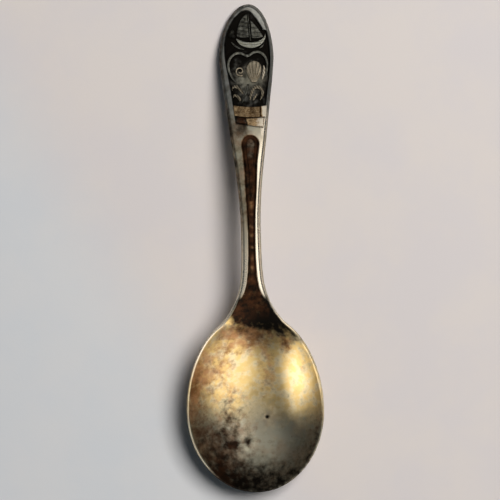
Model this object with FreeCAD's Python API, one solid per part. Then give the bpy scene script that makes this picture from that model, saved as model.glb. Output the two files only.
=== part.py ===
"""Souvenir spoon, lying on a table with its bowl upwards.

A short spoon with an egg-shaped bowl, a slim arched shank and a rounded handle end. The handle end has
a raised rail round a sunk panel, and the panel carries a small struck picture: a sailing boat over a
scroll frame with a scallop shell, curling leaves, and a blank ribbon. A groove with a drop in it runs
from the ribbon down to the bowl.

Millimetres. +Y runs along the spoon from the bowl to the handle's tip, +X is across it, +Z is up.
The origin is at the middle of the spoon's length and width, on the table.
"""

import FreeCAD
import Part

import math
import os

from FreeCAD import Vector

# ---- driving dimensions ----
LENGTH = 111.0
BOWL_HALF_WIDTH = 15.5
BOWL_TOE_REACH = 18.65  # from the bowl's widest line to its toe
BOWL_HEEL_REACH = 22.4  # the same half-oval's reach towards the shank
BOWL_DEPTH = 7.3  # hollow, under the rim
BOWL_FULLNESS = 2.3  # 2 is a plain paraboloid, more is steeper at the rim
BOWL_WALL = 1.0
RIM_WALL_EXTRA = 0.2
END_HALF_WIDTH = 6.2
END_REACH = 12.7  # from the handle end's widest line to the tip
TIP_LEAN = 0.6  # the tip sits this much right of the middle
PANEL_DEPTH = 0.7
GROOVE_DEPTH = 0.6
GROOVE_LEAN = 0.42  # the groove's head sits this much right of the middle
RELIEF_HEIGHT = 0.55  # of the picture's main forms, over the panel's floor
LOW_RELIEF_HEIGHT = 0.4
FAINT_RELIEF_HEIGHT = 0.25
RIBBON_HEIGHT = 0.65
DROP_HALF_WIDTH = 2.7  # the drop under the heel
DROP_TOE_Y = -21.0
DROP_FULL_Y = -14.5  # where the drop is thickest
DROP_SWELL = 0.7
DROP_EDGE = 0.15

TIP_Y = LENGTH / 2
BOWL_Y = BOWL_TOE_REACH - LENGTH / 2  # the bowl's widest line
END_Y = TIP_Y - END_REACH  # the handle end's widest line
SHOULDER_Y = BOWL_Y + 0.82 * BOWL_HEEL_REACH  # where the bowl's oval turns into the neck
JOINT_Y = -10.5  # the bowl is joined to the handle here
PANEL_FOOT_Y = 27.0
TALL = 40.0  # longer than anything is high

# Half widths of the shank, from the shoulder up to the handle end's widest line.
SHANK = [
    (-16.4, 6.65),
    (-14.1, 4.95),
    (-11.8, 3.8),
    (-9.5, 3.04),
    (-7.0, 2.58),
    (-2.7, 2.3),
    (4.5, 2.22),
    (10.9, 2.5),
    (17.7, 3.16),
    (24.6, 4.05),
    (31.4, 4.88),
    (38.2, 5.75),
]

# Height of the rim and of the rails above the table.
CREST = [
    (-58.0, 6.35),
    (-46.0, 7.45),
    (-36.85, 8.4),
    (-27.0, 9.3),
    (-18.0, 9.95),
    (-10.5, 10.5),
    (0.0, 10.9),
    (8.0, 10.7),
    (18.0, 9.6),
    (28.0, 7.6),
    (38.0, 5.1),
    (46.0, 3.1),
    (51.5, 2.03),
    (58.0, 1.95),
]

# Thickness under the rails.
THICKNESS = [
    (-24.0, 1.1),
    (-10.5, 2.5),
    (2.0, 2.6),
    (18.0, 2.3),
    (28.0, 2.1),
    (51.5, 2.0),
    (58.0, 1.5),
]

# Half widths of the groove in the shank, from its round head down to the joint.
GROOVE_HEAD_Y = 25.4
GROOVE = [
    (23.3, 2.0),
    (21.3, 1.76),
    (19.0, 1.5),
    (13.2, 1.25),
    (6.4, 0.88),
    (0.0, 0.8),
    (-5.0, 0.98),
    (-8.5, 1.4),
    (JOINT_Y, 2.05),
]

# The sunk panel's sides, upwards. The right one steps in under a broad corner of the rail.
PANEL_RIGHT = [(3.4, PANEL_FOOT_Y), (4.1, 31.4), (4.75, 35.9), (5.3, 40.0)]
PANEL_RIGHT += [(5.5, 43.5), (5.3, 47.0), (4.8, 49.5)]
PANEL_CORNER = (4.0, 49.65)
PANEL_TIP = [PANEL_CORNER, (3.3, 51.0), (2.3, 52.6), (1.2, 53.8), (0.1, 54.15)]
PANEL_TIP += [(-1.0, 53.85), (-2.2, 52.9), (-3.4, 51.4), (-4.4, 49.3), (-4.95, 46.8), (-5.0, 44.2)]
PANEL_LEFT = [PANEL_TIP[-1], (-4.75, 41.8), (-4.2, 38.4)]
PANEL_LEFT += [(-3.65, 34.5), (-3.2, 31.0), (-2.8, PANEL_FOOT_Y + 1.0)]


def smooth_through(stations, y):
    """The height at y of a smooth curve through the stations, with no overshoot between them."""
    if y <= stations[0][0]:
        return stations[0][1]
    if y >= stations[-1][0]:
        return stations[-1][1]
    gaps = [b[0] - a[0] for a, b in zip(stations, stations[1:])]
    rises = [(b[1] - a[1]) / g for a, b, g in zip(stations, stations[1:], gaps)]
    slopes = [rises[0]]
    for before, after in zip(rises, rises[1:]):
        slopes.append(0.0 if before * after <= 0 else 2 * before * after / (before + after))
    slopes.append(rises[-1])
    i = max(k for k in range(len(gaps)) if stations[k][0] <= y)
    t = (y - stations[i][0]) / gaps[i]
    low, high = stations[i][1], stations[i + 1][1]
    return (
        low * (1 + 2 * t) * (1 - t) ** 2
        + high * t * t * (3 - 2 * t)
        + gaps[i] * t * (1 - t) * ((1 - t) * slopes[i] - t * slopes[i + 1])
    )


def crest(y):
    return smooth_through(CREST, y)


def width_squared(y):
    """The square of the half width, which goes below zero past the toe."""
    if y < SHOULDER_Y:
        reach = BOWL_TOE_REACH if y < BOWL_Y else BOWL_HEEL_REACH
        return BOWL_HALF_WIDTH**2 * (1 - ((y - BOWL_Y) / reach) ** 2)
    shoulder = (SHOULDER_Y, math.sqrt(width_squared(SHOULDER_Y - 1e-9)))
    return smooth_through([shoulder, *SHANK], y) ** 2


def hollow(x, y):
    """Height of the bowl's inside at x, y."""
    out = max(0.0, 1 - (width_squared(y) - x * x) / BOWL_HALF_WIDTH**2)
    neck = min(1.0, max(0.0, (y + 20.0) / (20.0 + JOINT_Y)))
    trough = 0.25 * neck * neck * max(0.0, 1 - x * x / width_squared(max(y, SHOULDER_Y)))
    return crest(y) - BOWL_DEPTH * (1 - out ** (BOWL_FULLNESS / 2)) - trough


def underside(x, y):
    """Height of the bowl's outside at x, y."""
    out = min(1.3, max(0.0, 1 - (width_squared(y) - x * x) / BOWL_HALF_WIDTH**2))
    wall = BOWL_WALL + RIM_WALL_EXTRA * out
    if y > THICKNESS[0][0]:
        wall = max(wall, smooth_through(THICKNESS, y))
    return hollow(x, y) - wall


# ---- tools for building solids ----


def prism(edges):
    """A tall upright solid over a closed outline drawn in the XY plane."""
    face = Part.Face(Part.Wire(Part.__sortEdges__(edges)))
    face.translate(Vector(0, 0, -TALL / 2))
    return face.extrude(Vector(0, 0, TALL))


def spline(points, start=None, finish=None):
    """An edge through points given as (x, y), with its directions at both ends if they are given."""
    curve = Part.BSplineCurve()
    vectors = [Vector(x, y, 0) for x, y in points]
    if start is None:
        curve.interpolate(vectors)
        return curve.toShape()
    along = [0.0]
    for a, b in zip(vectors, vectors[1:]):
        along.append(along[-1] + a.distanceToPoint(b))
    curve.interpolate(
        Points=vectors,
        Parameters=along,
        InitialTangent=Vector(*start, 0).normalize(),
        FinalTangent=Vector(*finish, 0).normalize(),
        Scale=False,
    )
    return curve.toShape()


def line(a, b):
    return Part.makeLine(Vector(*a, 0), Vector(*b, 0))


def half_oval(centre_y, half_width, reach, from_deg, to_deg):
    """An arc of an ellipse with axes along X and Y, by the angle of its circle: 0 is +X, 90 is +Y."""
    centre = Vector(0, centre_y, 0)
    side, end = Vector(half_width, centre_y, 0), Vector(0, centre_y + reach, 0)
    if reach > half_width:
        ellipse = Part.Ellipse(end, side, centre)
        from_deg, to_deg = from_deg - 90, to_deg - 90
    else:
        ellipse = Part.Ellipse(side, end, centre)
    return ellipse.toShape(math.radians(from_deg), math.radians(to_deg))


def height_field(height, x_range, y_range, steps):
    """A smooth face whose height over the XY plane is height(x, y)."""
    rows = []
    for i in range(steps[0] + 1):
        x = x_range[0] + (x_range[1] - x_range[0]) * i / steps[0]
        row = []
        for j in range(steps[1] + 1):
            y = y_range[0] + (y_range[1] - y_range[0]) * j / steps[1]
            row.append(Vector(x, y, height(x, y)))
        rows.append(row)
    surface = Part.BSplineSurface()
    surface.interpolate(rows)
    return surface.toShape()


def band(drop_top, drop_bottom, from_y=-15.0, to_y=57.5, reach=10.0):
    """The layer between two depths under the crest line. A depth is a number or a function of y."""
    stations = [from_y + (to_y - from_y) * i / 14 for i in range(15)]

    def curve(drop):
        depth = drop if callable(drop) else lambda y: drop
        points = [Vector(-reach, y, crest(y) - depth(y)) for y in stations]
        edge = Part.BSplineCurve()
        edge.interpolate(points)
        return edge.toShape(), points[0], points[-1]

    top, top_start, top_end = curve(drop_top)
    low, low_start, low_end = curve(drop_bottom)
    wire = Part.Wire([top, Part.makeLine(top_end, low_end), low, Part.makeLine(low_start, top_start)])
    return Part.Face(wire).extrude(Vector(2 * reach, 0, 0))


# ---- the two large pieces ----


def bowl_outline():
    """The bowl's plan, from its toe to the joint."""
    shoulder_deg = math.degrees(math.asin((SHOULDER_Y - BOWL_Y) / BOWL_HEEL_REACH))
    shoulder = (math.sqrt(width_squared(SHOULDER_Y - 1e-9)), SHOULDER_Y)
    joint = (math.sqrt(width_squared(JOINT_Y)), JOINT_Y)
    slope = -(BOWL_HALF_WIDTH / BOWL_HEEL_REACH) * math.tan(math.radians(shoulder_deg))
    end_slope = (math.sqrt(width_squared(JOINT_Y + 1)) - math.sqrt(width_squared(JOINT_Y - 1))) / 2
    neck = [shoulder, *[(w, y) for y, w in SHANK if y < JOINT_Y - 0.5], joint]
    right = spline(neck, start=(slope, 1), finish=(end_slope, 1))
    left = right.mirror(Vector(0, 0, 0), Vector(1, 0, 0))
    toe = half_oval(BOWL_Y, BOWL_HALF_WIDTH, BOWL_TOE_REACH, 180, 360)
    heel_right = half_oval(BOWL_Y, BOWL_HALF_WIDTH, BOWL_HEEL_REACH, 0, shoulder_deg)
    heel_left = half_oval(BOWL_Y, BOWL_HALF_WIDTH, BOWL_HEEL_REACH, 180 - shoulder_deg, 180)
    return [toe, heel_right, right, line(joint, (-joint[0], JOINT_Y)), left, heel_left]


def bowl_side(height):
    """Everything under one side of the bowl, whose height is height(x, y)."""
    span_x = (-BOWL_HALF_WIDTH - 2, BOWL_HALF_WIDTH + 2)
    span_y = (-LENGTH / 2 - 2, JOINT_Y + 1)
    return height_field(height, span_x, span_y, (24, 32)).extrude(Vector(0, 0, -TALL))


def above_table(shape):
    """The shape with whatever reaches under the table worn flat."""
    return shape.cut(Part.makeBox(LENGTH, 2 * LENGTH, TALL, Vector(-LENGTH / 2, -LENGTH, -TALL)))


def make_bowl():
    """A thin dished shell, with a small worn flat where it rests on the table."""
    return above_table(prism(bowl_outline()).common(bowl_side(hollow)).cut(bowl_side(underside)))


def oval_tip():
    """Points round the handle's tip from right to left: half an oval whose tip is drawn to the right."""
    points = []
    for degrees in range(0, 181, 10):
        angle = math.radians(degrees)
        x = END_HALF_WIDTH * math.cos(angle) + TIP_LEAN * math.sin(angle) ** 2
        points.append((x, END_Y + END_REACH * math.sin(angle)))
    return points


def handle_outline():
    joint = (math.sqrt(width_squared(JOINT_Y)), JOINT_Y)
    side = [joint] + [(w, y) for y, w in SHANK if y > JOINT_Y + 0.5] + [(END_HALF_WIDTH, END_Y)]
    start_slope = (math.sqrt(width_squared(JOINT_Y + 1)) - math.sqrt(width_squared(JOINT_Y - 1))) / 2
    right = spline(side, start=(start_slope, 1), finish=(0, 1))
    left = right.mirror(Vector(0, 0, 0), Vector(1, 0, 0))
    tip = spline(oval_tip(), start=(0, 1), finish=(0, -1))
    return [right, tip, left, line((-joint[0], JOINT_Y), joint)]


def panel_outline():
    """The sunk panel's plan, with a slanted foot."""
    return corner_outline(
        PANEL_RIGHT,
        [PANEL_RIGHT[-1], PANEL_CORNER],
        PANEL_TIP,
        PANEL_LEFT,
        [PANEL_LEFT[-1], PANEL_RIGHT[0]],
    )


def groove_middle(y):
    """Where the groove's middle line is at y."""
    return GROOVE_LEAN * (y - JOINT_Y) / (GROOVE_HEAD_Y - JOINT_Y)


def groove_outline():
    """The groove's plan, with a round head, open into the bowl at the joint."""
    right = [(groove_middle(y) + w, y) for y, w in GROOVE]
    left = [(groove_middle(y) - w, y) for y, w in reversed(GROOVE)]
    head = [left[-1], (groove_middle(GROOVE_HEAD_Y), GROOVE_HEAD_Y), right[0]]
    right_end, left_end = (right[-1][0], JOINT_Y - 1), (left[0][0], JOINT_Y - 1)
    return [
        spline(head, start=(0, 1), finish=(0, -1)),
        spline(right),
        line(right[-1], right_end),
        line(right_end, left_end),
        line(left_end, left[0]),
        spline(left),
    ]


def make_handle(ribbon):
    """The shank and the handle end, with the panel, the groove and the ribbon's seat sunk in the top."""
    panel = prism(panel_outline()).common(band(-3.0, PANEL_DEPTH))
    groove = prism(groove_outline()).common(band(-3.0, GROOVE_DEPTH))
    blank = prism(handle_outline()).common(band(0, lambda y: smooth_through(THICKNESS, y)))
    return above_table(blank.cut(panel).cut(groove).cut(ribbon))


# ---- the joint under the bowl ----


def make_heel_drop():
    """The drop under the heel: a tongue soldered to the bowl's underside, which stiffens the joint."""
    reach = JOINT_Y - DROP_TOE_Y

    def lower(x, y):
        run = JOINT_Y - DROP_FULL_Y if y > DROP_FULL_Y else DROP_FULL_Y - DROP_TOE_Y
        swell = max(0.0, 1 - ((y - DROP_FULL_Y) / run) ** 2 - (x / DROP_HALF_WIDTH) ** 2)
        return underside(x, y) - DROP_SWELL * swell**0.5 - DROP_EDGE

    plan = [
        half_oval(JOINT_Y, DROP_HALF_WIDTH, reach, 180, 360),
        line((-DROP_HALF_WIDTH, JOINT_Y), (DROP_HALF_WIDTH, JOINT_Y)),
    ]
    span_y = (DROP_TOE_Y - 3, JOINT_Y + 1)
    lower_face = height_field(lower, (-2 * DROP_HALF_WIDTH, 2 * DROP_HALF_WIDTH), span_y, (16, 24))
    return prism(plan).common(bowl_side(underside)).cut(lower_face.extrude(Vector(0, 0, -TALL)))


# ---- the struck picture ----


def strip_outline(spine):
    """The outline of a strip along a spine of (x, y, half width), square across its two ends."""
    right, left = [], []
    for i, (x, y, half) in enumerate(spine):
        x0, y0, _ = spine[max(0, i - 1)]
        x1, y1, _ = spine[min(len(spine) - 1, i + 1)]
        run = math.hypot(x1 - x0, y1 - y0)
        across = ((y1 - y0) / run, (x0 - x1) / run)
        right.append((x + half * across[0], y + half * across[1]))
        left.append((x - half * across[0], y - half * across[1]))
    return [spline(right), line(right[-1], left[-1]), spline(left[::-1]), line(left[0], right[0])]


def corner_outline(*sides):
    """An outline of several sides, each a list of points, where each side starts at the last one's end."""
    return [spline(side) if len(side) > 2 else line(*side) for side in sides]


def raised(outline, height=RELIEF_HEIGHT, floor=PANEL_DEPTH):
    """A raised piece of that outline, standing on a floor at that depth under the rails."""
    return prism(outline).common(band(floor - height, floor))


def make_mast():
    return raised(strip_outline([(1.05, 47.1, 0.16), (0.85, 50.0, 0.13), (0.62, 53.3, 0.1)]))


def make_sail_fore():
    """The larger sail, left of the mast."""
    head, tack, clew = (0.4, 53.4), (-2.1, 48.2), (0.7, 47.9)
    leech = [head, (-0.85, 52.3), (-1.75, 50.4), tack]
    foot = [tack, (-0.6, 47.8), clew]
    return raised(corner_outline(leech, foot, [clew, head]), LOW_RELIEF_HEIGHT)


def make_sail_main():
    """The smaller sail, right of the mast."""
    head, clew, tack = (1.15, 51.8), (3.95, 48.0), (1.3, 47.75)
    leech = [head, (2.2, 50.7), (3.25, 49.2), clew]
    foot = [clew, (2.6, 47.65), tack]
    return raised(corner_outline(leech, foot, [tack, head]))


def make_hull():
    """A crescent hull with raised ends."""
    port, starboard = (-2.3, 47.7), (4.5, 48.7)
    deck = [port, (-0.6, 47.0), (1.4, 46.75), (3.2, 47.15), starboard]
    keel = [starboard, (3.7, 46.4), (1.7, 45.45), (-0.8, 45.9), port]
    return raised(corner_outline(deck, keel))


def make_waves():
    """Wave crests under the hull."""
    left = [(-3.3, 46.9, 0.1), (-2.6, 46.1, 0.2), (-1.5, 45.4, 0.18), (-0.4, 45.1, 0.08)]
    right = [(3.0, 45.35, 0.08), (3.6, 45.7, 0.14), (4.15, 46.5, 0.08)]
    return Part.makeCompound([raised(strip_outline(wave), LOW_RELIEF_HEIGHT) for wave in (left, right)])


def make_cloud():
    """A low cloud of three puffs beside the sail."""
    cloud = None
    for x, y, radius in [(-3.05, 49.2, 0.5), (-3.45, 48.5, 0.5), (-2.8, 48.2, 0.4)]:
        puff = raised([Part.makeCircle(radius, Vector(x, y, 0))], FAINT_RELIEF_HEIGHT)
        cloud = puff if cloud is None else cloud.fuse(puff)
    return cloud.removeSplitter()


def make_scroll_frame():
    """A frame with two round shoulders that runs round the shell and opens at its foot."""
    spine = [
        (-2.5, 37.6, 0.16),
        (-3.5, 39.0, 0.24),
        (-4.1, 40.8, 0.28),
        (-3.9, 42.7, 0.28),
        (-2.6, 44.1, 0.28),
        (-1.1, 44.2, 0.28),
        (0.2, 43.6, 0.3),
        (1.5, 44.3, 0.28),
        (3.0, 44.4, 0.28),
        (4.2, 43.4, 0.28),
        (4.7, 41.8, 0.24),
        (4.6, 40.3, 0.22),
        (4.2, 38.8, 0.16),
    ]
    return raised(strip_outline(spine))


def make_shell():
    """A scallop shell, hinge downwards."""
    hinge_left, hinge_right = (1.1, 37.5), (2.2, 37.5)
    left = [hinge_left, (0.35, 38.9), (-0.05, 40.4), (0.3, 41.5)]
    top = [left[-1], (1.0, 42.2), (1.8, 42.4), (2.6, 42.15), (3.25, 41.4)]
    right = [top[-1], (3.35, 40.3), (2.9, 38.8), hinge_right]
    return raised(corner_outline(left, top, right, [hinge_right, hinge_left]))


def make_volute():
    """A coiled scroll left of the shell."""
    centre_x, centre_y, outer_radius = -1.5, 40.1, 1.1
    start_deg, turn_deg, steps = -60, 450, 15
    spine = []
    for i in range(steps + 1):
        share = i / steps
        radius = outer_radius * (1 - 0.72 * share)
        angle = math.radians(start_deg - turn_deg * share)
        x = centre_x + radius * math.cos(angle)
        y = centre_y + radius * math.sin(angle)
        spine.append((x, y, 0.16 - 0.03 * share))
    return raised(strip_outline(spine), LOW_RELIEF_HEIGHT)


def make_plume():
    """An upright leaf right of the shell."""
    spine = [(3.4, 38.0, 0.1), (3.72, 39.0, 0.3), (3.95, 40.3, 0.3), (3.85, 41.4, 0.1)]
    return raised(strip_outline(spine))


def make_stem():
    """The leaves' stem."""
    spine = [(0.2, 37.1, 0.22), (-0.05, 35.8, 0.2), (-0.6, 34.2, 0.2), (-1.2, 32.9, 0.14)]
    return raised(strip_outline(spine), LOW_RELIEF_HEIGHT)


def make_leaf_left():
    """A pair of lobes that curl away from the stem."""
    upper = [
        (-0.85, 34.9, 0.12),
        (-1.6, 35.9, 0.34),
        (-2.6, 36.6, 0.36),
        (-3.3, 36.3, 0.2),
        (-3.3, 35.6, 0.08),
    ]
    lower = [(-1.6, 33.2, 0.1), (-2.2, 34.3, 0.3), (-2.85, 34.6, 0.26), (-3.15, 34.0, 0.08)]
    return Part.makeCompound([raised(strip_outline(lobe), LOW_RELIEF_HEIGHT) for lobe in (upper, lower)])


def make_leaf_right():
    """A larger curling leaf with a smaller one inside its curl."""
    outer = [
        (0.6, 33.4, 0.12),
        (1.0, 35.1, 0.3),
        (2.1, 36.4, 0.36),
        (3.25, 35.9, 0.36),
        (3.4, 34.5, 0.3),
        (2.9, 33.4, 0.1),
    ]
    inner = [(1.25, 33.3, 0.1), (1.8, 34.2, 0.26), (2.25, 34.9, 0.1)]
    return Part.makeCompound([raised(strip_outline(lobe), LOW_RELIEF_HEIGHT) for lobe in (outer, inner)])


def make_ribbon():
    """The blank name ribbon, a little bowed, whose right end is folded over the rail."""
    low_left, low_right, high_right, high_left = (-3.05, 29.9), (4.15, 29.6), (4.4, 32.1), (-3.25, 32.3)
    lower_edge = [low_left, (0.0, 29.45), low_right]
    upper_edge = [high_right, (0.2, 31.85), high_left]
    outline = corner_outline(lower_edge, [low_right, high_right], upper_edge, [high_left, low_left])
    return raised(outline, RIBBON_HEIGHT)


def make_ribbon_tail():
    """The ribbon's folded end, which shows under its right half."""
    fold, end_high, end_low, low = (-0.5, 29.2), (3.25, 29.3), (3.1, 27.6), (-0.1, 27.85)
    return raised(corner_outline([fold, end_high], [end_high, end_low], [end_low, low], [low, fold]))


def make_drop():
    """The long drop in the groove."""
    widths = [(10.5, 0.18), (14.0, 0.3), (18.5, 0.5), (22.4, 0.95), (24.1, 0.7), (24.7, 0.15)]
    spine = [(groove_middle(y), y, half) for y, half in widths]
    return raised(strip_outline(spine), FAINT_RELIEF_HEIGHT, GROOVE_DEPTH)


def main():
    os.makedirs("parts", exist_ok=True)
    ribbon = make_ribbon()
    parts = {
        "bowl": make_bowl(),
        "handle": make_handle(ribbon),
        "heel_drop": make_heel_drop(),
        "mast": make_mast(),
        "sail_fore": make_sail_fore(),
        "sail_main": make_sail_main(),
        "hull": make_hull(),
        "waves": make_waves(),
        "cloud": make_cloud(),
        "scroll_frame": make_scroll_frame(),
        "scallop_shell": make_shell(),
        "volute": make_volute(),
        "plume": make_plume(),
        "leaf_stem": make_stem(),
        "leaf_left": make_leaf_left(),
        "leaf_right": make_leaf_right(),
        "name_ribbon": ribbon,
        "ribbon_tail": make_ribbon_tail(),
        "groove_drop": make_drop(),
    }
    for name, shape in parts.items():
        shape.exportStep(f"parts/{name}.step")
        print(f"{name:14s} {len(shape.Solids)} solid(s), {shape.Volume:8.2f} mm3, valid {shape.isValid()}")


main()
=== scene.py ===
# A worn souvenir spoon lying bowl upwards on a pale floor, seen from straight above.
#
# The bowl and the handle are fine skins over the same curves as the imported solids, with a rounded rim, rails
# with soft shoulders, a groove with a row of low beads, and a sunk panel. All other pieces are softened
# copies of the imported nodes, and the picture's and the ribbon's have engraved detail of their own. Wear,
# painted highlights, painted shade and a painted dark reflection are worked out from each point's place on
# the spoon and stored on the vertices; the materials turn them into worn gilt, bare nickel, brown stain,
# black tarnish, painted highlights and painted shade.
#
# The spoon's sizes are in millimetres until a mesh is made. The floor, lights and camera are in metres.

import math

import bmesh
import bpy
import numpy as np
from mathutils import Matrix, Vector


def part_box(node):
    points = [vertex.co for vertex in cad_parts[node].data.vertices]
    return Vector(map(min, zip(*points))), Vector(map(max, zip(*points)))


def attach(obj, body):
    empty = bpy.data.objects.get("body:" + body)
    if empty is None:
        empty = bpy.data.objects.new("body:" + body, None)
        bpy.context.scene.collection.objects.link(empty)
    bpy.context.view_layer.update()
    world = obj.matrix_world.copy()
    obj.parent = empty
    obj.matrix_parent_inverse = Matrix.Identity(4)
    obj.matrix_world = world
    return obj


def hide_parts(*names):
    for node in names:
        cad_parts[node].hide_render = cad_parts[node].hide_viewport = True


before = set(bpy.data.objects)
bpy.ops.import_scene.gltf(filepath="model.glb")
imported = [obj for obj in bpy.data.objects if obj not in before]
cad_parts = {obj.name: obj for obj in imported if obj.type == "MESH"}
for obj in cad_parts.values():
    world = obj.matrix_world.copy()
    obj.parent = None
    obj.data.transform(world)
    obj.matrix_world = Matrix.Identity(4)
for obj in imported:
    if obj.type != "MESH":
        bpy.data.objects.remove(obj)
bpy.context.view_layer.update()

# ---- sizes from the frame ----
MM = 0.001
bowl_low, bowl_high = (Vector(corner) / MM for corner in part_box("bowl"))
handle_high = Vector(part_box("handle")[1]) / MM
TOE_Y, JOINT_Y, TIP_Y = bowl_low.y, bowl_high.y, handle_high.y
BOWL_HALF_WIDTH, END_HALF_WIDTH = bowl_high.x, handle_high.x

# ---- the spoon's own proportions ----
BOWL_TOE_REACH = 18.65
BOWL_HEEL_REACH = 22.4
BOWL_DEPTH = 7.3
BOWL_FULLNESS = 2.3
BOWL_WALL = 1.0
RIM_THICKENING = 0.1
END_REACH = 12.7
TIP_LEAN = 0.6
SIDE_THINNING = 0.3  # the share of its thickness that the handle loses at its sides
CLEARANCE = 0.02  # the skins' tops lie this far under the solids', before their dents

PANEL_DEPTH = 0.7
PANEL_FOOT_Y = 27.0
PANEL_WALL = (-0.05, 0.38)  # where its sloping wall starts and ends, inside its edge
GROOVE_DEPTH = 0.6
GROOVE_LEAN = 0.42
GROOVE_WALL = (-0.12, 0.5)
GROOVE_TOP_Y = 23.3  # its round head starts here
GROOVE_HEAD = 2.1
BEAD_HEIGHT, BEAD_PITCH, BEAD_HALF_WIDTH = 0.08, 2.4, 0.6
BEAD_STRAY, BEAD_STRAY_RATE = 0.4, 1.7  # the beads aren't evenly spaced
BEADS_COME_IN, BEADS_GO_OUT = (-9.0, -6.0), (16.0, 9.0)
PIT_X, PIT_Y, PIT_REACH, PIT_DEPTH = 2.6, -38.7, 0.88, 0.12

RIM_SOFTNESS = 0.07
SHOULDER_WIDTH = 0.85  # of the soft shoulder along the rim
BOWL_SHOULDER, SHANK_EXTRA_SHOULDER = 0.1, 0.55
CROWN = 0.28  # how much lower the handle's top is at its sides
RIGHT_CROWN = 0.2  # and how much lower still along the shank's right side
DENT_HEIGHT, SMALL_DENT_HEIGHT, GROUND_HEIGHT = 0.018, 0.006, 0.015

# Where along y something comes in, from none at the first to all at the second.
TOP_TURNS_TO_SHANK, UNDERSIDE_TURNS_TO_SHANK = (-14.0, -8.5), (-16.0, -8.5)
SHOULDER_GROWS, RIGHT_CROWN_GROWS = (-22.0, -9.0), (26.0, 18.0)

BOWL_Y = TOE_Y + BOWL_TOE_REACH
END_Y = TIP_Y - END_REACH
SHOULDER_SINE = 0.82
SHOULDER_Y = BOWL_Y + SHOULDER_SINE * BOWL_HEEL_REACH
SHOULDER_HALF_WIDTH = BOWL_HALF_WIDTH * math.sqrt(1 - SHOULDER_SINE**2)

# Stations along the spoon, as (y, value).
SHANK = [(-16.4, 6.65), (-14.1, 4.95), (-11.8, 3.8), (-9.5, 3.04), (-7.0, 2.58), (-2.7, 2.3)]
SHANK += [(4.5, 2.22), (10.9, 2.5), (17.7, 3.16), (24.6, 4.05), (31.4, 4.88), (38.2, 5.75)]
SIDES = [(SHOULDER_Y, SHOULDER_HALF_WIDTH), *SHANK, (END_Y, END_HALF_WIDTH)]
CREST = [(-58.0, 6.35), (-46.0, 7.45), (-36.85, 8.4), (-27.0, 9.3), (-18.0, 9.95), (-10.5, 10.5), (0.0, 10.9)]
CREST += [(8.0, 10.7), (18.0, 9.6), (28.0, 7.6), (38.0, 5.1), (46.0, 3.1), (51.5, 2.03), (58.0, 1.95)]
THICKNESS = [(-24.0, 1.1), (-10.5, 2.5), (2.0, 2.6), (18.0, 2.3), (28.0, 2.1), (51.5, 2.0), (58.0, 1.5)]
GROOVE = [(-14.0, 3.7), (-10.5, 2.05), (-8.5, 1.4), (-5.0, 0.98), (0.0, 0.8), (6.4, 0.88), (13.2, 1.25)]
GROOVE += [(19.0, 1.5), (21.3, 1.76), (23.3, 2.0)]
RIM_LAND = [(-56.0, 0.3), (-22.0, 0.35), (-14.0, 0.9), (-10.5, 1.2)]

# The sunk panel's edge, as (x, y).
PANEL_RIGHT = [(3.4, PANEL_FOOT_Y), (4.1, 31.4), (4.75, 35.9), (5.3, 40.0), (5.5, 43.5)]
PANEL_RIGHT += [(5.3, 47.0), (4.8, 49.5)]
PANEL_TIP = [(4.0, 49.65), (3.3, 51.0), (2.3, 52.6), (1.2, 53.8), (0.1, 54.15)]
PANEL_TIP += [(-1.0, 53.85), (-2.2, 52.9), (-3.4, 51.4), (-4.4, 49.3), (-4.95, 46.8), (-5.0, 44.2)]
PANEL_LEFT = [(-4.75, 41.8), (-4.2, 38.4), (-3.65, 34.5), (-3.2, 31.0), (-2.8, PANEL_FOOT_Y + 1.0)]

TINY = 1e-9  # keeps a division from one by zero
FAR = 9.0  # distances to the panel's edge are cut off here


def smooth_through(stations, y):
    """The value at y of a smooth curve through (y, value) stations, with no overshoot between them."""
    knots, values = np.array(stations).T
    gaps = np.diff(knots)
    rises = np.diff(values) / gaps
    product = rises[:-1] * rises[1:]
    total = np.where(product > 0, rises[:-1] + rises[1:], 1.0)
    inner = np.where(product > 0, 2 * product / total, 0.0)
    slopes = np.concatenate([rises[:1], inner, rises[-1:]])
    y = np.clip(y, knots[0], knots[-1])
    i = np.clip(np.searchsorted(knots, y, side="right") - 1, 0, len(gaps) - 1)
    t = (y - knots[i]) / gaps[i]
    level = values[i] * (1 + 2 * t) * (1 - t) ** 2 + values[i + 1] * t * t * (3 - 2 * t)
    return level + gaps[i] * t * (1 - t) * ((1 - t) * slopes[i] - t * slopes[i + 1])


def step(low, high, value):
    """Goes smoothly from 0 at low to 1 at high. High may be the smaller of the two."""
    t = np.clip((value - low) / (high - low), 0.0, 1.0)
    return t * t * (3 - 2 * t)


def blend(share, first, second):
    """The first where share is 0, and the second where it is 1."""
    return first * (1 - share) + second * share


def waves(place, pitch):
    """Ridges from -1 to 1 that far apart."""
    return np.cos(2 * math.pi * place / pitch)


def slope_of(curve, y, reach):
    """A curve's slope at y, from its values that far to each side."""
    return (curve(y + reach) - curve(y - reach)) / (2 * reach)


def oval_half_width(y, middle, half, reach):
    """Half the width of an oval at y."""
    return half * np.sqrt(np.clip(1 - ((y - middle) / reach) ** 2, 0, 1))


def half_width(y):
    """Half the spoon's width at y."""
    reach = np.where(y < BOWL_Y, BOWL_TOE_REACH, BOWL_HEEL_REACH)
    bowl = oval_half_width(y, BOWL_Y, BOWL_HALF_WIDTH, reach)
    end = oval_half_width(y, END_Y, END_HALF_WIDTH, END_REACH)
    return np.where(y < SHOULDER_Y, bowl, np.where(y > END_Y, end, smooth_through(SIDES, y)))


def half_width_squared(y):
    """The square of half the spoon's width at y."""
    return half_width(y) ** 2


def inside_oval(x, y, half, reach):
    """How far x, y lies inside an oval's edge, near that edge."""
    share = np.sqrt((x / half) ** 2 + (y / reach) ** 2) + TINY
    steepness = np.sqrt((x / half**2) ** 2 + (y / reach**2) ** 2) / share + TINY
    return (1 - share) / steepness


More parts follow.
